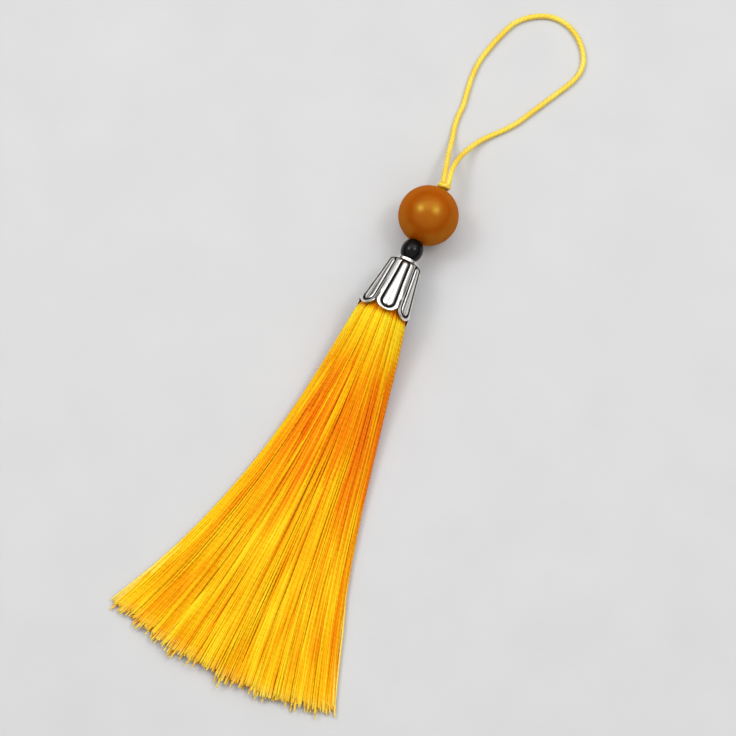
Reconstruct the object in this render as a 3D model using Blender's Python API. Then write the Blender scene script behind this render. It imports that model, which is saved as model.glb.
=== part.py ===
"""Silk tassel, laid flat: a fringe that fans out from a fluted bell cap, with a small spacer bead,
a larger round bead, a cord knot and a hanging loop above it.

Metres, +Z up. The surface that it lies on is z = 0, and +Y runs from the fringe to the loop.
The origin is below the middle of the tassel without its loop.
"""

import bisect
import math
import random

import bmesh
import bpy
from mathutils import Vector

MM = 0.001
GAP = 0.3 * MM

# Driving dimensions
CORD_DIAMETER = 1.1 * MM
BORE_RADIUS = 1.3 * MM
BEAD_RADIUS = 6.0 * MM
SPACER_RADIUS = 2.2 * MM
SPACER_LENGTH = 2 * math.sqrt(SPACER_RADIUS**2 - BORE_RADIUS**2)
CAP_LENGTH = 12.1 * MM
CAP_MOUTH_RADIUS = 5.3 * MM
CAP_SHOULDER_RADIUS = 3.45 * MM
CAP_COLLAR_RADIUS = 2.2 * MM
CAP_WALL = 0.5 * MM
PETALS = 7
PETAL_FACING = math.radians(6 - 90)
SCALLOP_DEPTH = 1.9 * MM
STRAND_LENGTH = 77.7 * MM
KNOT_SIZE = Vector((3.3, 2.7, 1.6)) * MM

# The stack along the head's axis, measured from the middle of the large bead
BEAD_FLAT = math.sqrt(BEAD_RADIUS**2 - BORE_RADIUS**2)
SPACER_PLACE = -(BEAD_FLAT + GAP + SPACER_LENGTH / 2)
COLLAR_PLACE = SPACER_PLACE - SPACER_LENGTH / 2 - GAP
MOUTH_PLACE = COLLAR_PLACE - CAP_LENGTH
KNOT_PLACE = BEAD_RADIUS + 0.74 * MM
KNOT_TOP = KNOT_PLACE + KNOT_SIZE.z / 2

# The head's axis falls a little towards the cap, so that the cap's rim nears the surface too
CAP_CLEARANCE = 0.15 * MM
AXIS_FALL = (BEAD_RADIUS - CAP_MOUTH_RADIUS - CAP_CLEARANCE) / -MOUTH_PLACE
AXIS_TILT = math.asin(AXIS_FALL)

# Row origin: midway between the longest fringe lock and the knot
RAGGED = 0.9 * MM
SLANT = 1.6 * MM
FRINGE_REACH = -MOUTH_PLACE * math.cos(AXIS_TILT) + STRAND_LENGTH + RAGGED
BEAD_Y = (FRINGE_REACH - KNOT_TOP) / 2

# Fringe
NECK_LENGTH = 9.0 * MM
NECK_TAPER = 0.178
NECK_MOUTH_RADIUS = CAP_MOUTH_RADIUS - CAP_WALL - 0.4 * MM
SKIRT_COLUMNS = 64
SKIRT_NECK_ROWS = 3
SKIRT_FAN_ROWS = 15
COLUMNS_PER_LOCK = 4
NOTCH_DEPTH = 5.0 * MM
RIDGE = 0.16 * MM
ROUND_SPAN = math.radians(83)

# The loop's route from one side of the knot to the other, in millimetres from the large bead's
# middle, with the third value the height above the surface
LOOP_ROUTE = (
    (-0.3, 8.0, 6.2),
    (-0.75, 9.8, 5.8),
    (-1.3, 11.9, 4.6),
    (-1.92, 14.1, 3.2),
    (-2.4, 16.3, 1.9),
    (-2.9, 18.6, 0.9),
    (-3.5, 21.0, 0.57),
    (-3.8, 23.6, 0.56),
    (-3.8, 26.0, 0.56),
    (-4.3, 29.2, 0.56),
    (-4.7, 32.6, 0.56),
    (-4.65, 36.2, 0.56),
    (-3.9, 39.8, 0.56),
    (-2.9, 43.2, 0.56),
    (-1.5, 46.6, 0.56),
    (1.0, 49.2, 0.56),
    (4.2, 50.8, 0.56),
    (7.5, 50.9, 0.56),
    (10.6, 49.6, 0.56),
    (13.1, 47.3, 0.56),
    (14.6, 44.6, 0.56),
    (14.8, 41.8, 0.56),
    (13.9, 39.0, 0.56),
    (12.4, 36.1, 0.56),
    (10.9, 33.2, 0.56),
    (9.4, 30.3, 0.56),
    (7.7, 27.1, 0.56),
    (5.9, 24.6, 0.56),
    (4.0, 22.4, 0.6),
    (2.4, 20.2, 0.95),
    (1.3, 17.8, 1.75),
    (0.6, 15.4, 3.0),
    (0.25, 12.7, 4.5),
    (0.4, 10.3, 5.7),
    (0.85, 8.0, 6.2),
)
LOOP_STEP = 2.4 * MM


def clear_scene():
    for old in list(bpy.data.objects):
        bpy.data.objects.remove(old, do_unlink=True)


def material(name, colour, roughness, metallic=0.0):
    made = bpy.data.materials.new(name)
    made.use_nodes = True
    shader = made.node_tree.nodes["Principled BSDF"]
    shader.inputs["Base Color"].default_value = (*colour, 1.0)
    shader.inputs["Roughness"].default_value = roughness
    shader.inputs["Metallic"].default_value = metallic
    return made


def finish_object(name, bm, surface, parent=None, sharp_degrees=40):
    """Makes the named object of a bmesh, shaded smooth except along its sharp edges."""
    bmesh.ops.recalc_face_normals(bm, faces=bm.faces[:])
    mesh = bpy.data.meshes.new(name)
    bm.to_mesh(mesh)
    bm.free()
    mesh.shade_smooth()
    mesh.set_sharp_from_angle(angle=math.radians(sharp_degrees))
    mesh.materials.append(surface)
    made = bpy.data.objects.new(name, mesh)
    made.parent = parent
    bpy.context.collection.objects.link(made)
    return made


def head_axis():
    """An empty in the middle of the large bead, with its +Z along the head towards the loop."""
    axis = bpy.data.objects.new("head_axis", None)
    axis.location = (0, BEAD_Y, BEAD_RADIUS)
    axis.rotation_euler = (AXIS_TILT - math.radians(90), 0, 0)
    bpy.context.collection.objects.link(axis)
    return axis


def turned(profile, steps):
    """A closed outline of (radius, height) points turned all the way round Z."""
    bm = bmesh.new()
    points = [bm.verts.new((radius, 0, height)) for radius, height in profile]
    edges = [bm.edges.new(pair) for pair in zip(points, points[1:] + points[:1])]
    bmesh.ops.spin(
        bm,
        geom=points + edges,
        axis=(0, 0, 1),
        cent=(0, 0, 0),
        angle=math.tau,
        steps=steps,
        use_merge=True,
    )
    return bm


def bored_bead(name, radius, length, surface, parent, place, steps, rings):
    """A round bead with a straight bore of the given length through it."""
    start = math.asin(BORE_RADIUS / radius)
    half = length / 2 / math.cos(start)
    profile = []
    for ring in range(rings + 1):
        angle = start + (math.pi - 2 * start) * ring / rings
        profile.append((radius * math.sin(angle), half * math.cos(angle)))
    bead = finish_object(name, turned(profile, steps), surface, parent)
    bead.location = (0, 0, place)
    return bead


def cap_outline():
    """(radius, height) points down the cap's outside and back up its inside, from its collar."""
    flare = (CAP_MOUTH_RADIUS - CAP_SHOULDER_RADIUS) / (CAP_LENGTH - 1.7 * MM)
    outside = [
        (BORE_RADIUS, 0),
        (CAP_COLLAR_RADIUS - 0.2 * MM, 0),
        (CAP_COLLAR_RADIUS, -0.2 * MM),
        (CAP_COLLAR_RADIUS, -0.75 * MM),
        (2.7 * MM, -0.95 * MM),
        (3.2 * MM, -1.25 * MM),
    ]
    flared = [1.7, 2.6, 4.0, 6.0, 8.0, 9.8, 11.1, CAP_LENGTH / MM]
    outside += [(CAP_SHOULDER_RADIUS + flare * (d * MM - 1.7 * MM), -d * MM) for d in flared]
    inside = [(radius - CAP_WALL, height) for radius, height in outside[:7:-1]]
    inside += [(2.75 * MM, -1.75 * MM), (BORE_RADIUS, -1.5 * MM)]
    return outside + inside


def bell_cap(surface, parent):
    """The thin cap, with a rounded panel down each petal and a scalloped mouth."""
    bm = turned(cap_outline(), PETALS * 10)
    flare = (CAP_MOUTH_RADIUS - CAP_SHOULDER_RADIUS) / (CAP_LENGTH - 1.7 * MM)
    for vert in bm.verts:
        radius = math.hypot(vert.co.x, vert.co.y)
        angle = math.atan2(vert.co.y, vert.co.x)
        depth = -vert.co.z
        across = (angle - PETAL_FACING) / math.tau * PETALS
        across = 2 * abs(across - round(across))
        if depth < 1.6 * MM:
            continue
        outer = CAP_SHOULDER_RADIUS + flare * (depth - 1.7 * MM)
        if radius > outer - 0.4 * CAP_WALL:
            down = min(1.0, (depth - 1.7 * MM) / (3 * MM))
            groove = 0.26 * MM * max(0.0, down) * across**3
            radius -= groove
        mouth = max(0.0, (depth - 6 * MM) / (CAP_LENGTH - 6 * MM))
        rise = SCALLOP_DEPTH * mouth * (1 - math.sqrt(max(0.0, 1 - across * across)))
        vert.co = (radius * math.cos(angle), radius * math.sin(angle), rise - depth)
    cap = finish_object("cap", bm, surface, parent)
    cap.location = (0, 0, COLLAR_PLACE)
    return cap


def cord_knot(surface, parent):
    bm = bmesh.new()
    bmesh.ops.create_uvsphere(bm, u_segments=24, v_segments=12, radius=0.5)
    bmesh.ops.scale(bm, vec=KNOT_SIZE, verts=bm.verts[:])
    knot = finish_object("cord_knot", bm, surface, parent)
    knot.location = (0, 0, KNOT_PLACE)
    return knot


def stem_cord(surface, parent):
    """The doubled cord through both beads into the cap: two strands side by side."""
    top = BEAD_FLAT - 0.45 * MM
    bottom = MOUTH_PLACE + NECK_LENGTH + GAP
    bm = bmesh.new()
    ring = bmesh.ops.create_circle(bm, cap_ends=True, segments=20, radius=CORD_DIAMETER / 2)
    for vert in ring["verts"]:
        if abs(vert.co.x) > 0.01 * MM:
            vert.co.x += math.copysign(0.45 * MM, vert.co.x)
        vert.co.z = bottom
    pushed = bmesh.ops.extrude_face_region(bm, geom=bm.faces[:])
    raised = [item for item in pushed["geom"] if isinstance(item, bmesh.types.BMVert)]
    bmesh.ops.translate(bm, verts=raised, vec=(0, 0, top - bottom))
    return finish_object("stem_cord", bm, surface, parent)


def smooth_step(value):
    value = min(1.0, max(0.0, value))
    return value * value * (3 - 2 * value)


def fan_half_width(below):
    """Half the fringe's width at a distance below the cap's mouth."""
    spring = 0.9 * MM * (1 - math.exp(-below / (0.8 * MM)))
    return NECK_MOUTH_RADIUS + spring + 0.135 * below + 1.64 * MM * (below / (40 * MM)) ** 2.75


def fan_height(below):
    mouth_top = axis_height(MOUTH_PLACE) + NECK_MOUTH_RADIUS
    return 1.9 * MM + (mouth_top - 1.9 * MM) * math.exp(-below / (24 * MM))


def fan_underside(below):
    lift = axis_height(MOUTH_PLACE) - NECK_MOUTH_RADIUS
    return lift * (1 - smooth_step(below / (9 * MM)))


def axis_height(along):
    """Height of the head's axis at a distance along it from the large bead's middle."""
    return BEAD_RADIUS + AXIS_FALL * along


def neck_point(across, below, on_top):
    """A point of the round bundle of silk inside the cap; below is negative there."""
    radius = NECK_MOUTH_RADIUS + NECK_TAPER * below
    turn = across * ROUND_SPAN
    side = 1 if on_top else -1
    along = MOUTH_PLACE - below
    return Vector((
        radius * math.sin(turn),
        BEAD_Y + along * math.cos(AXIS_TILT),
        axis_height(along) + side * radius * math.cos(turn),
    ))


def fan_sway(below):
    """How far the fan's middle line strays towards +X."""
    return 0.8 * MM * math.sin(math.pi * min(1.25, 1.25 * below / (78 * MM)))


def fan_point(across, below, on_top, ridge):
    """A point of the fan: round at the cap's mouth, flat with thin edges further down."""
    flat = smooth_step(below / (30 * MM))
    turn = across * ROUND_SPAN
    half = fan_half_width(below)
    x = half * ((1 - flat) * math.sin(turn) / math.sin(ROUND_SPAN) + flat * across)
    low = fan_underside(below)
    rise = fan_height(below) - low
    if on_top:
        crown = 1 - 0.55 * abs(across) ** 3
        unevenness = 1 + 0.05 * flat * math.sin(9 * across + 25 * below)
        z = low + rise * unevenness * ((1 - flat) * (1 + math.cos(turn)) / 2 + flat * crown)
        z += ridge * smooth_step(below / (8 * MM))
    else:
        z = low + rise * (1 - flat) * (1 - math.cos(turn)) / 2
    along = BEAD_Y + MOUTH_PLACE * math.cos(AXIS_TILT) - below
    return Vector((x + fan_sway(below), along, z))


def lock_lengths():
    """How far below the mouth each column of the fringe ends: ragged locks with a notch between."""
    draw = random.Random(12)
    lengths = []
    for column in range(SKIRT_COLUMNS + 1):
        across = 2 * column / SKIRT_COLUMNS - 1
        side = 24 * MM * across
        length = math.sqrt(STRAND_LENGTH**2 - side**2) - SLANT * smooth_step(0.5 - across)
        length += RAGGED * draw.uniform(-1, 1)
        if column % COLUMNS_PER_LOCK == 0 and 0 < column < SKIRT_COLUMNS:
            length -= NOTCH_DEPTH * draw.uniform(0.6, 1.2)
        lengths.append(length)
    lengths[SKIRT_COLUMNS * 2 // 3 + 1] = STRAND_LENGTH + RAGGED
    return lengths


def silk_skirt(surface):
    """The whole fringe as one body: its neck in the cap, its fan, and a comb of locks at the end."""
    lengths = lock_lengths()
    rows = SKIRT_NECK_ROWS + SKIRT_FAN_ROWS
    bm = bmesh.new()
    bmesh.ops.create_grid(bm, x_segments=SKIRT_COLUMNS, y_segments=rows, size=1)
    pushed = bmesh.ops.extrude_face_region(bm, geom=bm.faces[:])
    upper = {item for item in pushed["geom"] if isinstance(item, bmesh.types.BMVert)}
    for vert in bm.verts:
        across = vert.co.x
        column = round((across + 1) / 2 * SKIRT_COLUMNS)
        row = round((1 - vert.co.y) / 2 * rows)
        on_top = vert in upper
        if row <= SKIRT_NECK_ROWS:
            below = NECK_LENGTH * (row / SKIRT_NECK_ROWS - 1)
            vert.co = neck_point(across, below, on_top)
        else:
            share = (row - SKIRT_NECK_ROWS) / SKIRT_FAN_ROWS
            below = lengths[column] * share**1.25
            ridge = RIDGE if column % 2 else -RIDGE
            vert.co = fan_point(across, below, on_top, ridge)
    return finish_object("silk_skirt", bm, surface, sharp_degrees=60)


def smooth_route(points, samples=12):
    """Points along a smooth curve through the given ones (Catmull-Rom)."""
    ends = [2 * points[0] - points[1], *points, 2 * points[-1] - points[-2]]
    curve = []
    for a, b, c, d in zip(ends, ends[1:], ends[2:], ends[3:]):
        for step in range(samples):
            t = step / samples
            curve.append(0.5 * (
                2 * b
                + (c - a) * t
                + (2 * a - 5 * b + 4 * c - d) * t**2
                + (3 * b - a - 3 * c + d) * t**3
            ))
    return curve + [points[-1]]


def evenly_spaced(curve, step):
    """Points a near-equal distance apart along a curve, both ends kept."""
    reached = [0.0]
    for a, b in zip(curve, curve[1:]):
        reached.append(reached[-1] + (b - a).length)
    count = round(reached[-1] / step)
    spaced = []
    for index in range(count + 1):
        along = reached[-1] * index / count
        after = min(max(bisect.bisect_left(reached, along), 1), len(curve) - 1)
        share = (along - reached[after - 1]) / (reached[after] - reached[after - 1])
        spaced.append(curve[after - 1].lerp(curve[after], share))
    return spaced


def loop_cord(surface):
    """The hanging loop: it leaves the knot, falls to the surface and lies there in an open loop."""
    route = [Vector((x, y, z)) * MM + Vector((0, BEAD_Y, 0)) for x, y, z in LOOP_ROUTE]
    points = evenly_spaced(smooth_route(route), LOOP_STEP)
    curve = bpy.data.curves.new("loop_cord", "CURVE")
    curve.dimensions = "3D"
    curve.bevel_depth = CORD_DIAMETER / 2
    curve.bevel_resolution = 2
    curve.use_fill_caps = True
    spline = curve.splines.new("POLY")
    spline.points.add(len(points) - 1)
    for held, point in zip(spline.points, points):
        held.co = (*point, 1)
    curve.materials.append(surface)
    made = bpy.data.objects.new("loop_cord", curve)
    bpy.context.collection.objects.link(made)
    return made


def build():
    clear_scene()
    silk = material("silk", (0.90, 0.52, 0.02), 0.45)
    cord = material("cord", (0.95, 0.66, 0.06), 0.5)
    silver = material("silver", (0.62, 0.60, 0.57), 0.25, 1.0)
    amber = material("amber", (0.42, 0.12, 0.004), 0.15)
    black = material("black_gloss", (0.01, 0.01, 0.012), 0.1)
    axis = head_axis()
    bored_bead("amber_bead", BEAD_RADIUS, 2 * BEAD_FLAT, amber, axis, 0, 36, 16)
    bored_bead("spacer_bead", SPACER_RADIUS, SPACER_LENGTH, black, axis, SPACER_PLACE, 24, 10)
    bell_cap(silver, axis)
    cord_knot(cord, axis)
    stem_cord(cord, axis)
    silk_skirt(silk)
    loop_cord(cord)


build()
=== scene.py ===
"""The looks of a silk tassel that lies flat: its fringe of twisted silk strands, fluted silver cap,
black spacer, amber bead, knot and hanging loop, under plain soft studio light. Metres, +Z up.
"""

import math

import bmesh
import bpy
import numpy as np
from mathutils import Matrix, Vector


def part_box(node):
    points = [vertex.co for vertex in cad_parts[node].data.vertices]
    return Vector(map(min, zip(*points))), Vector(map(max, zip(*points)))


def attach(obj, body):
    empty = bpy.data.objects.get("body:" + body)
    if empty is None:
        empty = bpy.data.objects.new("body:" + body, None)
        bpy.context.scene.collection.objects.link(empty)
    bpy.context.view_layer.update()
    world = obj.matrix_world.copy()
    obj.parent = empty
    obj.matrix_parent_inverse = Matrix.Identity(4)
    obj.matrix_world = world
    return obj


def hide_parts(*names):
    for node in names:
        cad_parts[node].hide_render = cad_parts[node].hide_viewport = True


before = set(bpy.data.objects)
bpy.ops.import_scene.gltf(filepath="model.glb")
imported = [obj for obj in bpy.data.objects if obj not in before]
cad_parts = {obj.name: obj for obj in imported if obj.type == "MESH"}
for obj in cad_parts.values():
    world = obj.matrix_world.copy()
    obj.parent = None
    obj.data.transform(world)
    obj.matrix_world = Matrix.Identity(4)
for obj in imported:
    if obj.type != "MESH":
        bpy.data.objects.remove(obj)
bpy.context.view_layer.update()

MM = 0.001
BODY = "root"
PATTERN_MAP = "thread"
BAKE_MAP = "OFBake"

# ---------------------------------------------------------------- the head's axis, from the frame


def middle(node):
    """The middle of a node's box."""
    low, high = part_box(node)
    return (low + high) / 2


def size_of(node):
    """The size of a node's box."""
    low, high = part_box(node)
    return high - low


BEAD = middle("amber_bead")
BEAD_RADIUS = size_of("amber_bead").z / 2
AXIS = (BEAD - middle("spacer_bead")).normalized()
HEAD = Matrix.Translation(BEAD) @ Matrix((
    (1, 0, 0, 0),
    (0, AXIS.z, AXIS.y, 0),
    (0, -AXIS.y, AXIS.z, 0),
    (0, 0, 0, 1),
))


def reach(node):
    """How far a node lies along the head's axis, from the large bead's middle: lowest, highest."""
    places = [(vertex.co - BEAD).dot(AXIS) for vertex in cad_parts[node].data.vertices]
    return min(places), max(places)


CAP_TIP, CAP_TOP = reach("cap")
SPACER_LOW, SPACER_HIGH = reach("spacer_bead")
KNOT_LOW, KNOT_HIGH = reach("cord_knot")
MOUTH = BEAD + AXIS * CAP_TIP
CORD_DIAMETER = 1.1 * MM
BORE_RADIUS = 1.25 * MM

# ---------------------------------------------------------------- camera, floor and light

VIEW_TARGET = Vector((0.0014, BEAD.y - 0.0319, 0))
VIEW_AZIMUTH = math.radians(24.5)
VIEW_ELEVATION = math.radians(75)
VIEW_DISTANCE = 0.52
VIEW_LENS = 129.1

LIGHT_DISTANCE = 0.75
OVERHEAD_SIZE = (1.3, 0.42)
OVERHEAD_POWER = 2.3
LAMP_SIZE = (0.22, 0.22)
LAMP_POWER = 1.05


def from_angles(azimuth, elevation):
    """The direction from the object to a viewer; azimuth 0 looks along +Y."""
    flat = math.cos(elevation)
    return Vector((math.sin(azimuth) * flat, -math.cos(azimuth) * flat, math.sin(elevation)))


def place_camera():
    """A long lens that looks down steeply, turned from the tassel's length."""
    lens = bpy.data.cameras.new("camera")
    lens.lens = VIEW_LENS
    lens.clip_start = 0.01
    camera = bpy.data.objects.new("camera", lens)
    outwards = from_angles(VIEW_AZIMUTH, VIEW_ELEVATION)
    camera.location = VIEW_TARGET + outwards * VIEW_DISTANCE
    camera.rotation_euler = outwards.to_track_quat("Z", "Y").to_euler()
    bpy.context.scene.collection.objects.link(camera)
    bpy.context.scene.camera = camera


def soft_box(name, direction, size, power):
    """A rectangular soft light that faces the large bead; size is (across, along)."""
    light = bpy.data.lights.new(name, "AREA")
    light.shape = "RECTANGLE"
    light.size, light.size_y = size
    light.energy = power
    lamp = bpy.data.objects.new(name, light)
    lamp.location = BEAD + Vector(direction).normalized() * LIGHT_DISTANCE
    lamp.rotation_euler = Vector(direction).to_track_quat("Z", "Y").to_euler()
    bpy.context.scene.collection.objects.link(lamp)


def dim_sky():
    """A sky that is bright overhead and dims towards the horizon."""
    world = bpy.data.worlds.new("studio")
    world.use_nodes = True
    tree = world.node_tree
    place = tree.nodes.new("ShaderNodeTexCoord")
    axes = tree.nodes.new("ShaderNodeSeparateXYZ")
    ramp = tree.nodes.new("ShaderNodeValToRGB")
    Recipe.set_stops(ramp.color_ramp, (
        (0.05, (0.08, 0.08, 0.09)),
        (0.36, (0.22, 0.22, 0.23)),
        (0.55, (0.80, 0.80, 0.81)),
    ))
    tree.links.new(place.outputs["Generated"], axes.inputs[0])
    tree.links.new(axes.outputs["Z"], ramp.inputs[0])
    tree.links.new(ramp.outputs[0], tree.nodes["Background"].inputs["Color"])
    bpy.context.scene.world = world


def light_studio():
    """One broad light overhead and two small lamps, under a dim sky."""
    soft_box("overhead", (-0.14, 0.36, 0.94), OVERHEAD_SIZE, OVERHEAD_POWER)
    soft_box("lamp_left", (-0.54, -0.03, 0.84), LAMP_SIZE, LAMP_POWER)
    soft_box("lamp_right", (0.39, 0.24, 0.89), LAMP_SIZE, LAMP_POWER)
    dim_sky()
    bpy.context.scene.view_settings.view_transform = "Standard"


# ---------------------------------------------------------------- materials


class Wire:
    """A shader output that adds a Math node when it takes part in arithmetic."""

    def __init__(self, recipe, socket):
        self.recipe = recipe
        self.socket = socket

    def maths(self, operation, *values):
        return self.recipe.add("ShaderNodeMath", {"operation": operation}, dict(enumerate(values)))

    def __add__(self, other):
        return self.maths("ADD", self, other)

    def __sub__(self, other):
        return self.maths("SUBTRACT", self, other)

    def __rsub__(self, other):
        return self.maths("SUBTRACT", other, self)

    def __mul__(self, other):
        return self.maths("MULTIPLY", self, other)

    __radd__ = __add__
    __rmul__ = __mul__

    def sine(self):
        return self.maths("SINE", self)

    def clamped(self):
        return self.recipe.add("ShaderNodeClamp", {}, {"Value": self})


class Recipe:
    """One material: its Principled shader, and the nodes that feed it."""

    def __init__(self, name, **fixed):
        self.material = bpy.data.materials.new(name)
        self.material.use_nodes = True
        self.tree = self.material.node_tree
        self.shader = self.tree.nodes["Principled BSDF"]
        for socket, value in fixed.items():
            self.shader.inputs[socket.replace("_", " ")].default_value = value

    def add(self, kind, settings, values, output=0):
        """Adds a node, sets it, joins its inputs, and returns one of its outputs."""
        node = self.tree.nodes.new(kind)
        for key, value in settings.items():
            if key == "stops":
                self.set_stops(node.color_ramp, value)
            else:
                setattr(node, key, value)
        for key, value in values.items():
            if isinstance(value, Wire):
                self.tree.links.new(value.socket, node.inputs[key])
            else:
                node.inputs[key].default_value = value
        return Wire(self, node.outputs[output])

    @staticmethod
    def set_stops(ramp, stops):
        while len(ramp.elements) < len(stops):
            ramp.elements.new(0.5)
        for element, (place, colour) in zip(ramp.elements, stops):
            element.position = place
            element.color = (*colour, 1)

    def feed(self, socket, wire):
        self.tree.links.new(wire.socket, self.shader.inputs[socket])

    def gloss(self, share, colour, roughness):
        """Lays a tinted gloss over the shader, as strong at the rim as in the middle."""
        glossy = self.tree.nodes.new("ShaderNodeBsdfPrincipled")
        glossy.inputs["Base Color"].default_value = (*colour, 1)
        glossy.inputs["Metallic"].default_value = 1
        glossy.inputs["Roughness"].default_value = roughness
        both = self.tree.nodes.new("ShaderNodeMixShader")
        both.inputs[0].default_value = share
        self.tree.links.new(self.shader.outputs[0], both.inputs[1])
        self.tree.links.new(glossy.outputs[0], both.inputs[2])
        self.tree.links.new(both.outputs[0], self.tree.nodes["Material Output"].inputs["Surface"])

    def mix(self, share, first, second):
        colours = {6: first, 7: second, 0: share}
        return self.add("ShaderNodeMix", {"data_type": "RGBA"}, colours, output=2)

    def ramp(self, value, stops):
        return self.add("ShaderNodeValToRGB", {"stops": stops}, {0: value})

    def attribute(self, name):
        return self.add("ShaderNodeAttribute", {"attribute_name": name}, {}, output="Fac")

    def noise(self, place, scale, detail=2.0, roughness=0.5):
        values = {"Vector": place, "Scale": scale, "Detail": detail, "Roughness": roughness}
        return self.add("ShaderNodeTexNoise", {}, values)

    def object_place(self, centre=(0, 0, 0), stretch=(1, 1, 1)):
        place = self.add("ShaderNodeTexCoord", {}, {}, output="Object")
        values = {"Vector": place, "Location": centre, "Scale": stretch}
        return self.add("ShaderNodeMapping", {}, values)

    def thread_place(self):
        """(around, millimetres along) on a strand or cord, as two wires."""
        place = self.add("ShaderNodeUVMap", {"uv_map": PATTERN_MAP}, {})
        axes = self.tree.nodes.new("ShaderNodeSeparateXYZ")
        self.tree.links.new(place.socket, axes.inputs[0])
        return Wire(self, axes.outputs[0]), Wire(self, axes.outputs[1])

    def point(self, x, y):
        return self.add("ShaderNodeCombineXYZ", {}, {0: x, 1: y, 2: 0.0})

    def bump(self, height, strength, distance):
        values = {"Height": height, "Strength": strength, "Distance": distance}
        self.feed("Normal", self.add("ShaderNodeBump", {}, values))


def silk_material():
    """Twisted golden floss: strands from yellow to deep orange, fine fibres and a satin sheen.
    The strand's own tone makes it lighter, and random patches make it more orange. Painted shade
    makes it more orange as well: in a band below the cap and to the right, where no sheen falls, in
    a painted shadow under the cap's rim, in the twist along the right edge, and on the strands deep
    in the fringe. The cut ends and stray strands have a painted pale highlight."""
    silk = Recipe(
        "golden_silk", Roughness=0.4, Specular_IOR_Level=0.5, Specular_Tint=(1, 0.7, 0.1, 1)
    )
    around, along = silk.thread_place()
    tone = silk.attribute("tone")
    warmth = silk.attribute("warmth")
    tip = silk.attribute("tip")
    across = silk.attribute("across")
    depth = silk.attribute("depth")
    streaks = silk.noise(silk.point(around * 2.0, along * 0.12 + tone * 90.0), 1.6, 3.0)
    patches = silk.noise(silk.point(across * 16.0, along * 0.07), 1.0, 2.0)
    # Painted shade: the silk is more orange in a band below the cap and to the right, and stays
    # yellow where a sheen would fall
    painted_darkening = warmth * (1.05 - tone * 0.5)
    # Painted shadow under the cap's rim, strongest just below the mouth and gone about a millimetre
    # further down
    painted_darkening += (1 - ((along - 0.1) * 1.1).clamped()) * 0.75
    # Painted shade in the twist along the right edge: dark dashes 0.85 mm apart, over the first 24
    # mm or so below the mouth
    edge = ((across - 0.975) * 50.0).clamped() * ((24 - along) * 0.3).clamped()
    painted_darkening += edge * ((along * (math.tau / 0.85)).sine() * 0.3 + 0.1)
    # The painted shade above, and painted shade on the strands that lie deep in the fringe, darken
    # the silk towards orange
    light = 1.21 + tone * 0.33 + streaks * 0.3 - patches * 1.2 - painted_darkening - depth * 0.65
    stops = (
        (0.0, (0.80, 0.16, 0.0)),
        (0.35, (0.85, 0.31, 0.0)),
        (0.7, (0.88, 0.49, 0.003)),
        (1.0, (0.92, 0.67, 0.015)),
    )
    # Painted highlight: a pale yellow at the cut ends and on the strands that stray
    colour = silk.mix(tip, silk.ramp(light.clamped(), stops), (0.95, 0.75, 0.14, 1))
    silk.feed("Base Color", colour)
    twist = ((around * 2.0 + along * 0.85) * math.tau).sine()
    fibres = silk.noise(silk.point(around * 9.0 + along * 3.0, along * 0.8), 1.0, 2.0)
    silk.bump(twist * 0.5 + fibres * 0.6, 0.35, 0.06 * MM)
    silk.feed("Roughness", streaks * 0.2 + 0.32)
    return silk.material


def cord_material():
    """Fine twisted cord, a little brighter than the fringe, with painted shade in the grooves
    between its plies.
    """
    cord = Recipe(
        "golden_cord", Roughness=0.4, Specular_IOR_Level=0.6, Specular_Tint=(1, 0.85, 0.4, 1)
    )
    around, along = cord.thread_place()
    # Painted shade in the grooves between the plies
    groove = cord.attribute("groove")
    fibres = cord.noise(cord.point(around * 14.0 + along * 4.0, along * 0.9), 1.0, 3.0)
    slow = cord.noise(cord.point(around * 0.5, along * 0.15), 1.0, 2.0)
    light = (0.8 - groove * 0.27 + fibres * 0.3 + slow * 0.9 - 0.5).clamped()
    stops = (
        (0.0, (0.62, 0.27, 0.002)),
        (0.4, (0.80, 0.46, 0.02)),
        (0.75, (0.86, 0.60, 0.05)),
        (1.0, (0.92, 0.74, 0.11)),
    )
    cord.feed("Base Color", cord.ramp(light, stops))
    cord.bump(fibres, 0.45, 0.05 * MM)
    cord.feed("Roughness", fibres * 0.2 + 0.36)
    return cord.material


def silver_material():
    """Polished silver with blackened grooves."""
    silver = Recipe("silver_blackened", Metallic=1.0)
    tarnish = silver.attribute("tarnish")
    place = silver.object_place(centre=tuple(-MOUTH))
    grime = silver.noise(place, 900.0, 4.0, 0.6)
    long_place = silver.object_place(centre=tuple(-MOUTH), stretch=(1.0, 0.1, 1.0))
    scratches = silver.noise(long_place, 2400.0, 2.0)
    wear = (tarnish * 1.75 + grime * 0.45 + scratches * 0.5 - 0.56).clamped()
    stops = (
        (0.0, (0.86, 0.84, 0.81)),
        (0.3, (0.60, 0.57, 0.53)),
        (0.65, (0.09, 0.08, 0.075)),
        (1.0, (0.015, 0.013, 0.012)),
    )
    silver.feed("Base Color", silver.ramp(wear, stops))
    silver.feed("Roughness", wear * 0.4 + grime * 0.1 + 0.10)
    silver.bump(silver.noise(place, 2600.0, 3.0), 0.12, 0.02 * MM)
    return silver.material


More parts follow.
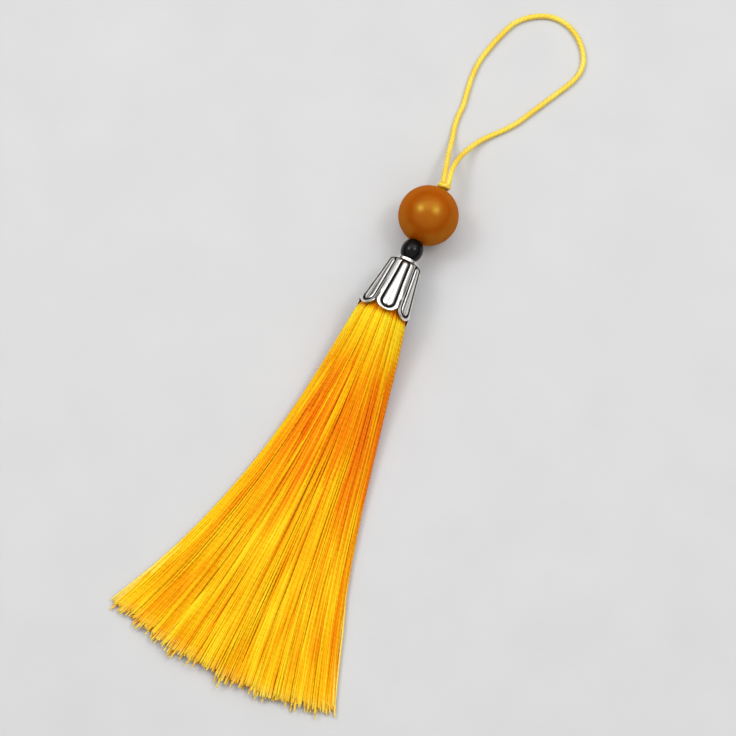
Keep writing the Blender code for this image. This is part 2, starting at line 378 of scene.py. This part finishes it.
def amber_material():
    """Milky amber resin: faint clouds of paler and deeper orange under a polished skin."""
    amber = Recipe(
        "milky_amber",
        Subsurface_Weight=0.8,
        Subsurface_Radius=(1.0, 0.45, 0.08),
        Subsurface_Scale=3.0 * MM,
        Specular_IOR_Level=0.0,
    )
    place = amber.object_place(centre=tuple(-BEAD), stretch=(1.0, 0.7, 1.3))
    clouds = amber.noise(place, 190.0, 3.0, 0.55)
    veins = amber.noise(place, 620.0, 4.0, 0.6)
    light = (clouds * 0.9 + veins * 0.3 - 0.12).clamped()
    stops = (
        (0.0, (0.30, 0.045, 0.0)),
        (0.45, (0.345, 0.057, 0.0)),
        (0.8, (0.385, 0.072, 0.0)),
        (1.0, (0.43, 0.095, 0.0)),
    )
    amber.feed("Base Color", amber.ramp(light, stops))
    amber.feed("Roughness", veins * 0.1 + 0.4)
    amber.gloss(0.075, (1.0, 0.92, 0.12), 0.3)
    return amber.material


def black_material():
    """Polished black with a faint haze."""
    black = Recipe("polished_black", Specular_IOR_Level=0.17)
    place = black.object_place(centre=tuple(-middle("spacer_bead")))
    haze = black.noise(place, 1500.0, 3.0)
    stops = ((0.3, (0.002, 0.002, 0.002)), (0.9, (0.008, 0.007, 0.008)))
    black.feed("Base Color", black.ramp(haze, stops))
    black.feed("Roughness", haze * 0.12 + 0.1)
    return black.material


def floor_material():
    """A plain pale floor."""
    floor = Recipe("pale_floor")
    grain = floor.noise(floor.object_place(), 60.0, 3.0)
    stops = ((0.2, (0.56, 0.56, 0.56)), (0.8, (0.60, 0.60, 0.595)))
    floor.feed("Base Color", floor.ramp(grain, stops))
    floor.feed("Roughness", grain * 0.1 + 0.6)
    return floor.material


# ---------------------------------------------------------------- mesh helpers

# How many narrow strips lie abreast in the bake map for each row of them, and the share of its
# own cell that a strip fills
STRIPS_ABREAST = 8
BAKE_FILL = 0.86
SEAM_REACH = 0.0005 * MM


def finish_piece(name, mesh, material, replaces, smooth_degrees=None):
    """Makes a piece of a mesh that is already in place, and hides the node that it stands for."""
    if smooth_degrees:
        mesh.shade_smooth()
        mesh.set_sharp_from_angle(angle=math.radians(smooth_degrees))
    mesh.materials.clear()
    mesh.materials.append(material)
    piece = bpy.data.objects.new(name, mesh)
    bpy.context.scene.collection.objects.link(piece)
    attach(piece, BODY)
    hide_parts(replaces)
    return piece


def mesh_from(bm, name):
    """A mesh of the work in bm, which it frees."""
    mesh = bpy.data.meshes.new(name)
    bm.to_mesh(mesh)
    bm.free()
    return mesh


def read_places(mesh):
    places = np.empty(len(mesh.vertices) * 3, np.float32)
    mesh.vertices.foreach_get("co", places)
    return places.reshape(-1, 3).astype(float)


def write_places(mesh, places):
    mesh.vertices.foreach_set("co", places.astype(np.float32).ravel())
    mesh.update()


def store(mesh, name, values):
    """Keeps one number for each point of the mesh, for its material."""
    layer = mesh.attributes.new(name, "FLOAT", "POINT")
    layer.data.foreach_set("value", np.asarray(values, np.float32))


def turned(profile, steps):
    """A closed outline of (radius, height) points turned all the way round Z."""
    bm = bmesh.new()
    points = [bm.verts.new((radius, 0, height)) for radius, height in profile]
    edges = [bm.edges.new(pair) for pair in zip(points, points[1:] + points[:1])]
    bmesh.ops.spin(
        bm,
        geom=points + edges,
        axis=(0, 0, 1),
        cent=(0, 0, 0),
        angle=math.tau,
        steps=steps,
        use_merge=True,
    )
    bmesh.ops.recalc_face_normals(bm, faces=bm.faces[:])
    return bm


def strips(name, count, around, along):
    """count flat strips of around by along faces, one above the other, each to be rolled into a
    tube. Returns the mesh, and each point's strip, place around and row."""
    bm = bmesh.new()
    bm.loops.layers.uv.new(PATTERN_MAP)
    bmesh.ops.create_grid(bm, x_segments=around, y_segments=along, size=0.5, calc_uvs=True)
    source = bpy.data.objects.new(name + "_strip", mesh_from(bm, name + "_strip"))
    bpy.context.scene.collection.objects.link(source)
    copies = source.modifiers.new("copies", "ARRAY")
    copies.count = count
    copies.use_relative_offset = False
    copies.use_constant_offset = True
    copies.constant_offset_displace = (0, 0, 1)
    evaluated = source.evaluated_get(bpy.context.evaluated_depsgraph_get())
    mesh = bpy.data.meshes.new_from_object(evaluated)
    mesh.name = name
    bpy.data.objects.remove(source, do_unlink=True)
    places = read_places(mesh)
    strip = np.rint(places[:, 2]).astype(int)
    turn = places[:, 0] + 0.5
    row = np.rint((places[:, 1] + 0.5) * along).astype(int)
    return mesh, strip, turn, row


def corner_values(mesh, values):
    """The points' values, one for each corner of a face."""
    corners = np.empty(len(mesh.loops), np.int32)
    mesh.loops.foreach_get("vertex_index", corners)
    return values[corners]


def lay_maps(mesh, strip, turn, millimetres, share, count):
    """The pattern map holds (place around, millimetres along). The bake map lays the strips side
    by side, in as many rows as their shape needs."""
    across = max(1, math.ceil(math.sqrt(count * STRIPS_ABREAST)))
    down = math.ceil(count / across)
    columns = (strip % across + 0.5 + (turn - 0.5) * BAKE_FILL) / across
    rows = (strip // across + 0.5 + (share - 0.5) * BAKE_FILL) / down
    pattern = np.column_stack([corner_values(mesh, turn), corner_values(mesh, millimetres)])
    bake = np.column_stack([corner_values(mesh, columns), corner_values(mesh, rows)])
    mesh.uv_layers[PATTERN_MAP].data.foreach_set("uv", pattern.astype(np.float32).ravel())
    layer = mesh.uv_layers.new(name=BAKE_MAP)
    layer.data.foreach_set("uv", bake.astype(np.float32).ravel())


def close_seams(mesh):
    """Joins each rolled strip's long edges and its pointed ends, and turns its faces outwards."""
    bm = bmesh.new()
    bm.from_mesh(mesh)
    bmesh.ops.remove_doubles(bm, verts=bm.verts[:], dist=SEAM_REACH)
    bmesh.ops.recalc_face_normals(bm, faces=bm.faces[:])
    bm.to_mesh(mesh)
    bm.free()
    mesh.shade_smooth()


def unit(vectors):
    """The vectors at length one."""
    return vectors / np.maximum(np.linalg.norm(vectors, axis=-1, keepdims=True), 1e-12)


# ---------------------------------------------------------------- the hanging loop and its knot

CORD_PLIES = 3
CORD_PITCH = 3.2 * MM
CORD_GROOVE = 0.09
CORD_POINT = 0.35
STEM_RADIUS = 0.48 * MM

# From one side of the knot to the other, in millimetres from the large bead's middle, with the
# third value the height above the surface. The first and last points lie inside the knot.
LOOP_ROUTE = (
    (-0.15, 7.2, 6.15),
    (-0.3, 8.0, 6.2),
    (-0.75, 9.8, 5.8),
    (-1.3, 11.9, 4.6),
    (-1.92, 14.1, 3.2),
    (-2.4, 16.3, 1.9),
    (-2.9, 18.6, 0.9),
    (-3.5, 21.0, 0.57),
    (-3.8, 23.6, 0.56),
    (-3.8, 26.0, 0.56),
    (-4.3, 29.2, 0.56),
    (-4.7, 32.6, 0.56),
    (-4.65, 36.2, 0.56),
    (-3.9, 39.8, 0.56),
    (-2.9, 43.2, 0.56),
    (-1.5, 46.6, 0.56),
    (1.0, 49.2, 0.56),
    (4.2, 50.8, 0.56),
    (7.5, 50.9, 0.56),
    (10.6, 49.6, 0.56),
    (13.1, 47.3, 0.56),
    (14.6, 44.6, 0.56),
    (14.8, 41.8, 0.56),
    (13.9, 39.0, 0.56),
    (12.4, 36.1, 0.56),
    (10.9, 33.2, 0.56),
    (9.4, 30.3, 0.56),
    (7.7, 27.1, 0.56),
    (5.9, 24.6, 0.56),
    (4.0, 22.4, 0.6),
    (2.4, 20.2, 0.95),
    (1.3, 17.8, 1.75),
    (0.6, 15.4, 3.0),
    (0.25, 12.7, 4.5),
    (0.4, 10.3, 5.7),
    (0.85, 8.0, 6.2),
    (0.8, 7.2, 6.15),
)

# The wrap, in millimetres and degrees
KNOT_RADIUS = 0.5 * MM
KNOT_PITCH = 3.0 * MM
KNOT_HALF_WIDTH = 0.92
KNOT_HALF_DEPTH = 0.72
KNOT_RISE = 0.6
KNOT_START = 200
KNOT_SWEEP = 560
KNOT_LEAN = -13
KNOT_ASIDE = 0.32 * MM
KNOT_STEPS = 120


def smooth_route(points, samples=16):
    """Points along a smooth curve through the given ones (Catmull-Rom)."""
    points = np.asarray(points, float)
    ends = np.vstack([2 * points[0] - points[1], points, 2 * points[-1] - points[-2]])
    steps = (np.arange(samples) / samples)[:, None]
    curve = []
    for a, b, c, d in zip(ends, ends[1:], ends[2:], ends[3:]):
        square = (2 * a - 5 * b + 4 * c - d) * steps**2
        cube = (3 * b - a - 3 * c + d) * steps**3
        curve.append(0.5 * (2 * b + (c - a) * steps + square + cube))
    return np.vstack([*curve, points[-1:]])


def evenly_spaced(curve, count):
    """count points a near-equal distance apart along a curve, and its length."""
    reached = np.append(0, np.cumsum(np.linalg.norm(np.diff(curve, axis=0), axis=1)))
    wanted = np.linspace(0, reached[-1], count)
    spaced = np.column_stack([np.interp(wanted, reached, curve[:, axis]) for axis in range(3)])
    return spaced, reached[-1]


def carried_sides(path):
    """A side vector at each point of a path, carried along it without turning about it."""
    forward = unit(np.gradient(path, axis=0))
    side = np.cross(forward[0], (0, 0, 1.0))
    sides = []
    for direction in forward:
        side = unit(side - direction * np.dot(side, direction))
        sides.append(side)
    return forward, np.array(sides)


def twisted_cord(name, paths, radius, pitch, ring_gap, around=18):
    """One mesh of plied cord along each path, with its grooves in the surface and pointed ends."""
    longest = max(np.linalg.norm(np.diff(path, axis=0), axis=1).sum() for path in paths)
    along = max(8, round(longest / ring_gap))
    mesh, strip, turn, row = strips(name, len(paths), around, along)
    places = np.zeros((len(turn), 3))
    millimetres = np.zeros(len(turn))
    grooves = np.zeros(len(turn))
    for index, path in enumerate(paths):
        points, length = evenly_spaced(path, along + 1)
        forward, side = carried_sides(points)
        up = np.cross(side, forward)
        mine = strip == index
        line = row[mine]
        distance = line / along * length
        angle = turn[mine] * math.tau
        lobes = np.abs(np.cos(CORD_PLIES / 2 * (angle - distance / pitch * math.tau)))
        ends = np.minimum(distance, length - distance) / (CORD_POINT * radius)
        swell = np.sqrt(np.clip(1 - (1 - np.clip(ends, 0, 1)) ** 2, 0, 1))
        reach_out = radius * swell * (1 - CORD_GROOVE + CORD_GROOVE * lobes**0.7)
        spokes = np.cos(angle)[:, None] * side[line] + np.sin(angle)[:, None] * up[line]
        places[mine] = points[line] + spokes * reach_out[:, None]
        millimetres[mine] = distance / MM
        # Painted shade for the material, in the grooves between the plies
        grooves[mine] = 1 - lobes
    write_places(mesh, places)
    lay_maps(mesh, strip, turn, millimetres, row / along, len(paths))
    store(mesh, "groove", grooves)
    close_seams(mesh)
    return mesh


def make_loop(material):
    """The hanging loop, from inside the knot, round on the surface and back into the knot."""
    path = smooth_route(np.array(LOOP_ROUTE) * MM + np.array([0, BEAD.y, 0]))
    mesh = twisted_cord("hanging_cord", [path], CORD_DIAMETER / 2, CORD_PITCH, 0.17 * MM)
    loop = finish_piece("hanging_cord", mesh, material, replaces="loop_cord")


def make_stem(material):
    """The two strands of cord inside the beads and the cap's neck."""
    low, high = reach("stem_cord")
    paths = []
    for side in (-0.5, 0.5):
        ends = [HEAD @ Vector((side * MM, 0, place)) for place in (low, high)]
        paths.append(np.array([ends[0], ends[0].lerp(ends[1], 0.5), ends[1]]))
    mesh = twisted_cord("cord_in_beads", paths, STEM_RADIUS, CORD_PITCH, 0.3 * MM, around=12)
    finish_piece("cord_in_beads", mesh, material, replaces="stem_cord")


def knot_path():
    """A turn and a half of cord drawn tight about the loop's legs, with its end to one side."""
    centre = (KNOT_LOW + KNOT_HIGH) / 2
    lean = Matrix.Rotation(math.radians(KNOT_LEAN), 4, "Y")
    points = []
    for step in range(KNOT_STEPS + 1):
        share = step / KNOT_STEPS
        angle = math.radians(KNOT_START - KNOT_SWEEP * share)
        x = KNOT_HALF_WIDTH * math.cos(angle)
        y = KNOT_HALF_DEPTH * math.sin(angle)
        place = Vector((x, y, KNOT_RISE * (share - 0.5))) * MM
        points.append(HEAD @ (lean @ place + Vector((KNOT_ASIDE, 0, centre))))
    return np.array(points)


def make_knot(material):
    mesh = twisted_cord("knot", [knot_path()], KNOT_RADIUS, KNOT_PITCH, 0.16 * MM)
    finish_piece("knot", mesh, material, replaces="cord_knot")


# ---------------------------------------------------------------- beads

BORE_EDGE = 0.08 * MM
SPACER_STRETCH = 0.5 * MM


def bored_bead(name, radius, length, place, node, material, rings, steps):
    """A round bead with a softened edge round its bore."""
    start = math.asin((BORE_RADIUS + BORE_EDGE) / radius)
    half = length / 2 / math.cos(start)
    profile = []
    for ring in range(rings + 1):
        angle = start + (math.pi - 2 * start) * ring / rings
        profile.append((radius * math.sin(angle), half * math.cos(angle)))
    top = profile[0][1] - BORE_EDGE
    profile += [(BORE_RADIUS, -top), (BORE_RADIUS, top)]
    mesh = mesh_from(turned(profile, steps), name)
    mesh.transform(HEAD @ Matrix.Translation((0, 0, place)))
    finish_piece(name, mesh, material, replaces=node, smooth_degrees=38)


def make_beads():
    """The two beads touch each other and the cap, over the thin gaps that the frame leaves."""
    amber = amber_material()
    low, high = reach("amber_bead")
    bored_bead(
        "round_bead", BEAD_RADIUS, high - low, 0, "amber_bead", amber, 64, 96
    )
    radius = size_of("spacer_bead").x / 2
    length = SPACER_HIGH - SPACER_LOW + SPACER_STRETCH
    centre = (SPACER_LOW + SPACER_HIGH) / 2
    black = black_material()
    bored_bead("small_bead", radius, length, centre, "spacer_bead", black, 40, 64)


# ---------------------------------------------------------------- the fluted cap

PETALS = 7
PETAL_STEPS = 36
FACING = math.radians(6 - 90)
CAP_LENGTH = CAP_TOP - CAP_TIP
MOUTH_RADIUS = 5.3 * MM
SHOULDER_RADIUS = 3.45 * MM
SHOULDER_DEPTH = 1.7 * MM
COLLAR_RADIUS = 2.2 * MM
COLLAR_DEPTH = 0.75 * MM
CAP_WALL = 0.5 * MM
SCALLOP_DEPTH = 1.9 * MM
SCALLOP_START = 6 * MM
COLLAR_ROUND = 0.2 * MM
COLLAR_STEP = 0.05 * MM
LIP_BULGE = 0.16 * MM
OUTSIDE_ROWS = 66
INSIDE_ROWS = 12
PANEL_TOP = 1.3 * MM
PANEL_FOOT = 0.78 * MM
CROWN_HEIGHT = 0.16 * MM
RIB_HEIGHT = 0.12 * MM
GROOVE_PLACE = 0.2 * MM
GROOVE_WIDTH = 0.22 * MM
GROOVE_DEPTH = 0.22 * MM
CREASE_DEPTH = 0.05 * MM
CLEFT_DEPTH = 0.10 * MM


def flared(depth):
    """The cap's plain outer radius at a depth below its collar."""
    flare = (MOUTH_RADIUS - SHOULDER_RADIUS) / (CAP_LENGTH - SHOULDER_DEPTH)
    return SHOULDER_RADIUS + flare * (depth - SHOULDER_DEPTH)


def cap_outline():
    """(radius, height) points down the cap's outside and back up its inside, from its collar."""
    outline = [(BORE_RADIUS, -0.1 * MM), (BORE_RADIUS + 0.1 * MM, 0)]
    for turn in range(5):
        angle = math.radians(90 - 22.5 * turn)
        across = COLLAR_RADIUS - COLLAR_ROUND + COLLAR_ROUND * math.cos(angle)
        outline.append((across, -COLLAR_ROUND + COLLAR_ROUND * math.sin(angle)))
    outline += [
        (COLLAR_RADIUS, -0.45 * MM),
        (COLLAR_RADIUS - COLLAR_STEP, -0.62 * MM),
        (COLLAR_RADIUS + COLLAR_STEP, -COLLAR_DEPTH),
    ]
    for turn in range(1, 9):
        angle = math.radians(11.25 * turn)
        across = SHOULDER_RADIUS - COLLAR_RADIUS - COLLAR_STEP
        drop = SHOULDER_DEPTH - COLLAR_DEPTH
        radius = COLLAR_RADIUS + COLLAR_STEP + across * math.sin(angle)
        outline.append((radius, -COLLAR_DEPTH - drop * (1 - math.cos(angle))))
    for row in range(1, OUTSIDE_ROWS + 1):
        depth = SHOULDER_DEPTH + (CAP_LENGTH - SHOULDER_DEPTH) * row / OUTSIDE_ROWS
        outline.append((flared(depth), -depth))
    lip = CAP_WALL / 2
    for turn in range(1, 6):
        angle = math.radians(30 * turn)
        radius = flared(CAP_LENGTH) - lip + lip * math.cos(angle)
        outline.append((radius, -CAP_LENGTH - LIP_BULGE * math.sin(angle)))
    for row in range(INSIDE_ROWS, -1, -1):
        depth = SHOULDER_DEPTH + (CAP_LENGTH - SHOULDER_DEPTH) * row / INSIDE_ROWS
        outline.append((flared(depth) - CAP_WALL, -depth))
    outline.append((BORE_RADIUS, -1.5 * MM))
    return outline


def smooth_step(value):
    """Rises from 0 to 1 as value does, with no corner at either end."""
    value = np.clip(value, 0, 1)
    return value * value * (3 - 2 * value)


def bell_curve(value, width):
    """1 where value is 0, falling away on both sides."""
    return np.exp(-((value / width) ** 2))


def make_cap():
    """The turned shell, cut to scallops and pressed into petals with panels, ribs and grooves."""
    mesh = mesh_from(turned(cap_outline(), PETALS * PETAL_STEPS), "silver_cap")
    places = read_places(mesh)
    radius = np.hypot(places[:, 0], places[:, 1])
    angle = np.arctan2(places[:, 1], places[:, 0])
    depth = -places[:, 2]
    across = (angle - FACING) / math.tau * PETALS
    across = 2 * (across - np.rint(across))
    outside = (radius > flared(depth) - 0.4 * CAP_WALL) | (depth < SHOULDER_DEPTH - 0.15 * MM)
    mouth = np.clip((depth - SCALLOP_START) / (CAP_LENGTH - SCALLOP_START), 0, 1)
    rounding = 1 - np.sqrt(np.clip(1 - across**2, 0, 1))
    depth = depth - SCALLOP_DEPTH * mouth * rounding
    # The petal laid flat: the distance from its middle line, and from its raised panel's outline
    half_petal = math.pi * radius / PETALS
    aside = np.abs(across) * half_petal
    panel = half_petal * (0.39 + 0.13 * smooth_step((depth - 1.5 * MM) / (9 * MM)))
    top = PANEL_TOP + panel
    foot = CAP_LENGTH - PANEL_FOOT - panel
    past = np.where(depth < top, depth - top, np.where(depth > foot, depth - foot, 0))
    edge = np.hypot(aside, past) - panel
    groove = bell_curve(edge - GROOVE_PLACE, GROOVE_WIDTH)
    crown = np.clip(-edge / panel, 0, 1) ** 0.6
    started = smooth_step((depth - 0.9 * MM) / (0.5 * MM)) * outside
    rib = smooth_step((edge - 0.28 * MM) / (0.14 * MM))
    crease = bell_curve(aside, 0.1 * MM) * smooth_step((depth - 5 * MM) / (3 * MM)) * (edge < 0)
    relief = CROWN_HEIGHT * crown + RIB_HEIGHT * rib
    relief = relief - GROOVE_DEPTH * groove - CREASE_DEPTH * crease
    cleft = bell_curve(1 - np.abs(across), 0.05) * smooth_step((depth - 8.6 * MM) / (0.8 * MM))
    relief -= CLEFT_DEPTH * cleft
    radius = radius + relief * started
    collar_line = bell_curve(depth - 0.95 * MM, 0.24 * MM) * outside
    tarnish = (groove + 0.45 * crease + 0.6 * cleft) * started + 0.9 * collar_line
    tarnish = np.where(outside, tarnish, 0.7)
    places = np.column_stack([radius * np.cos(angle), radius * np.sin(angle), -depth])
    write_places(mesh, places)
    store(mesh, "tarnish", np.clip(tarnish, 0, 1))
    mesh.transform(HEAD @ Matrix.Translation((0, 0, CAP_TOP)))
    finish_piece("silver_cap", mesh, silver_material(), "cap", smooth_degrees=60)


# ---------------------------------------------------------------- the fringe

STRANDS = 940
STRAND_SIDES = 5
STRAND_ROWS = 16
STRAND_RADIUS = 0.2 * MM
STRAND_START = 3.5 * MM
STRAND_LENGTH = MOUTH.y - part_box("silk_skirt")[0].y - 0.9 * MM
FAN_SHARE_AT_END = 24 * MM
SLANT = 1.4 * MM
# Strands that stray from an edge, with a painted pale highlight on them: which strands, how far
# out, and from where to where
STRAYS = (
    (slice(0, 4), -0.5 * MM, 55 * MM, 95 * MM),
    (slice(4, 6), -0.22 * MM, 14 * MM, 32 * MM),
    (slice(-4, None), 0.5 * MM, 51 * MM, 72 * MM),
    (slice(-6, -4), 0.3 * MM, 66 * MM, 90 * MM),
)
NECK_RADIUS = MOUTH_RADIUS - CAP_WALL - 0.4 * MM
NECK_TAPER = 0.178
ROUND_SPAN = math.radians(83)
AXIS_FALL = AXIS.z / AXIS.y
FAN_SPREAD = 0.135
FAN_CURVE = 1.64 * MM
FAN_CURVE_SPAN = 40 * MM
FAN_CURVE_POWER = 2.75
END_HEIGHT = 1.9 * MM
SWAY = 0.8 * MM
SWAY_SPAN = 78 * MM
END_LOCKS = 44
LOCKS = 70


def fan_half_width(below):
    """Half the fringe's width at a distance below the cap's mouth."""
    fan = np.maximum(below, 0)
    spring = 0.9 * MM * (1 - np.exp(-fan / (0.8 * MM)))
    curve = FAN_CURVE * (fan / FAN_CURVE_SPAN) ** FAN_CURVE_POWER
    width = NECK_RADIUS + spring + FAN_SPREAD * fan + curve
    return width + NECK_TAPER * np.minimum(below, 0)


def fan_height(below):
    """The height of the fringe's top at a distance below the cap's mouth."""
    fan = np.maximum(below, 0)
    top = MOUTH.z + NECK_RADIUS
    height = END_HEIGHT + (top - END_HEIGHT) * np.exp(-fan / (24 * MM))
    return height + (NECK_TAPER - AXIS_FALL) * np.minimum(below, 0)


def fan_underside(below):
    """The height of the fringe's underside at a distance below the cap's mouth."""
    fan = np.maximum(below, 0)
    lift = (MOUTH.z - NECK_RADIUS) * (1 - smooth_step(fan / (9 * MM)))
    return lift - (NECK_TAPER + AXIS_FALL) * np.minimum(below, 0)


def fan_place(share, level, below):
    """Where a strand lies: share is its place across the fan, from 0 to 1, and level its place
    from the underside to the top. At the mouth the bundle is round, further down it is flat."""
    turns = np.linspace(-ROUND_SPAN, ROUND_SPAN, 200)
    filled = np.cumsum(np.cos(turns) ** 2)
    turn = np.interp(share, (filled - filled[0]) / (filled[-1] - filled[0]), turns)
    flat = smooth_step(below / (30 * MM))
    half = fan_half_width(below)
    side = 2 * share - 1
    x = half * ((1 - flat) * np.sin(turn) / math.sin(ROUND_SPAN) + flat * side)
    low = fan_underside(below)
    rise = fan_height(below) - low
    crown = 1 - 0.55 * np.abs(side) ** 3
    top = low + rise * ((1 - flat) * (1 + np.cos(turn)) / 2 + flat * crown)
    bottom = low + rise * (1 - flat) * (1 - np.cos(turn)) / 2
    margin = STRAND_RADIUS
    z = bottom + margin + level * np.maximum(top - bottom - 2 * margin, 0)
    return x, z


def sway(below):
    """How far the fan's middle line strays towards +X."""
    fan = np.maximum(below, 0) / SWAY_SPAN
    return SWAY * np.sin(math.pi * np.minimum(fan * 1.25, 1.25))


def fan_lengths(share):
    """How far below the mouth the fan ends, on one curve that is shorter towards -X."""
    side = FAN_SHARE_AT_END * (2 * share - 1)
    return np.sqrt(STRAND_LENGTH**2 - side**2) - SLANT * smooth_step((0.75 - share) * 2)


def strand_lengths(share, level, draw):
    """How far below the mouth each strand is cut: near the fan's curve, by locks, a few longer."""
    count = len(share)
    length = fan_lengths(share) - 0.2 * MM
    lock = np.floor(share * END_LOCKS + draw.uniform(-0.4, 0.4, count)).astype(int)
    length += draw.normal(0, 0.35 * MM, 50)[np.clip(lock, 0, 49)]
    length += draw.normal(0, 0.22 * MM, count)
    lot = draw.uniform(0, 1, count)
    length += np.where(lot < 0.10, draw.uniform(0.4, 1.5, count) * MM, 0)
    length -= np.where((lot > 0.7) & (level < 0.7), draw.uniform(0.5, 3.0, count) * MM, 0)
    return length


def wander(gone, draw, slow, fast):
    """A gentle wave for every strand, that grows from its start."""
    count = len(gone)
    start = draw.uniform(0, math.tau, count)[:, None]
    turns = draw.uniform(slow, fast, count)[:, None]
    size = draw.uniform(0.3, 1.0, count)[:, None]
    return size * (np.sin(start + gone * turns) - np.sin(start)) * smooth_step(gone * 3)


def strand_paths(draw):
    """Every strand's points, as (strand, row, xyz), with what its material needs to know."""
    share = (np.arange(STRANDS) + draw.uniform(0, 1, STRANDS)) / STRANDS
    level = draw.permutation((np.arange(STRANDS) + 0.5) / STRANDS) ** 0.52
    length = strand_lengths(share, level, draw)
    even = np.linspace(0.06, 0.965, STRAND_ROWS - 4)
    steps = np.concatenate([[0, 0.02], even, [0.984, 0.998, 1]])
    below = -STRAND_START + (length + STRAND_START)[:, None] * steps[None, :]
    gone = np.clip(below / length[:, None], 0, 1)
    # Neighbours gather into locks towards their ends, and cross each other on the way
    lock = (np.floor(share * LOCKS + draw.uniform(-0.7, 0.7, STRANDS)) + 0.5) / LOCKS
    gather = 0.25 * smooth_step((gone - 0.2) / 0.8)
    moved = share[:, None] + gather * (lock - share)[:, None]
    moved += 0.010 * wander(gone, draw, 2, 6) + 0.003 * wander(gone, draw, 8, 16)
    moved = np.clip(moved, 0.001, 0.999)
    levels = np.clip(level[:, None] + 0.16 * wander(gone, draw, 3, 9), 0, 1)
    x, z = fan_place(moved, levels, below)
    for which, offset, first, last in STRAYS:
        gap = np.clip((below[which] - first) / (last - first), 0, 1)
        x[which] += offset * np.sin(math.pi * gap) ** 2
    paths = np.stack([x + sway(below), MOUTH.y - below, z], axis=2)
    return paths, below, moved, length, level, share


def strand_painted_shade(gone, across):
    """How orange the silk is, as painted shade where no sheen falls: most in a band below the cap,
    and more to the right.
    """
    band = bell_curve(gone - 25 * MM, 17 * MM)
    left = 1 - smooth_step(across / 0.22)
    right = smooth_step((across - 0.55) / 0.4)
    warmth = (0.36 + 0.64 * band) * smooth_step(gone / (13 * MM))
    return warmth * (0.9 - 0.35 * left * band + 0.32 * right * (0.3 + 0.7 * band))


def strand_painted_highlight(gone, length, share, strip):
    """A painted pale highlight on the silk: at the cut ends, most on the longest, and on strands
    that stray.
    """
    past_most = smooth_step((length - fan_lengths(share)) / (0.5 * MM))[strip]
    pale = smooth_step((gone - length[strip] + 2 * MM) / (2 * MM)) * (0.3 + 0.6 * past_most)
    for which, _, first, _ in STRAYS:
        stray = np.isin(strip, np.arange(STRANDS)[which])
        pale[stray] = 0.8 * smooth_step((gone[stray] - first) / (5 * MM))
    return pale


def make_fringe():
    """Every strand of the fringe, as one mesh of tapered tubes."""
    draw = np.random.default_rng(7)
    paths, below, moved, length, level, share = strand_paths(draw)
    mesh, strip, turn, row = strips("silk_fringe", STRANDS, STRAND_SIDES, STRAND_ROWS)
    forward = unit(np.gradient(paths, axis=1))
    side = unit(np.cross(forward, (0, 0, 1.0)))
    up = np.cross(side, forward)
    radius = STRAND_RADIUS * draw.uniform(0.8, 1.25, STRANDS)
    taper = np.ones(STRAND_ROWS + 1)
    taper[[0, -1]] = 0
    taper[-2] = 0.8
    angle = turn * math.tau
    spokes = np.cos(angle)[:, None] * side[strip, row] + np.sin(angle)[:, None] * up[strip, row]
    places = paths[strip, row] + spokes * (radius[strip] * taper[row])[:, None]
    write_places(mesh, places)
    lay_maps(mesh, strip, turn, below[strip, row] / MM, row / STRAND_ROWS, STRANDS)
    gone = below[strip, row]
    across = moved[strip, row]
    store(mesh, "tone", draw.uniform(0, 1, STRANDS)[strip])
    store(mesh, "across", across)
    # Painted shade where no sheen falls: in a band below the cap, and more to the right
    store(mesh, "warmth", strand_painted_shade(gone, across))
    # Painted shade on the strands that lie deep in the fringe, under the top ones
    store(mesh, "depth", smooth_step((0.8 - level) / 0.5)[strip])
    # Painted pale highlight at the cut ends and on the stray strands
    store(mesh, "tip", strand_painted_highlight(gone, length, share, strip))
    close_seams(mesh)
    finish_piece("silk_fringe", mesh, silk_material(), replaces="silk_skirt")


def make_floor():
    """A wide flat floor at the height that the tassel lies on."""
    bm = bmesh.new()
    bmesh.ops.create_grid(bm, x_segments=1, y_segments=1, size=3.0)
    floor = bpy.data.objects.new("floor", mesh_from(bm, "floor"))
    floor.data.materials.append(floor_material())
    bpy.context.scene.collection.objects.link(floor)


place_camera()
cord_finish = cord_material()
make_loop(cord_finish)
make_knot(cord_finish)
make_stem(cord_finish)
make_beads()
make_cap()
make_fringe()
make_floor()
light_studio()
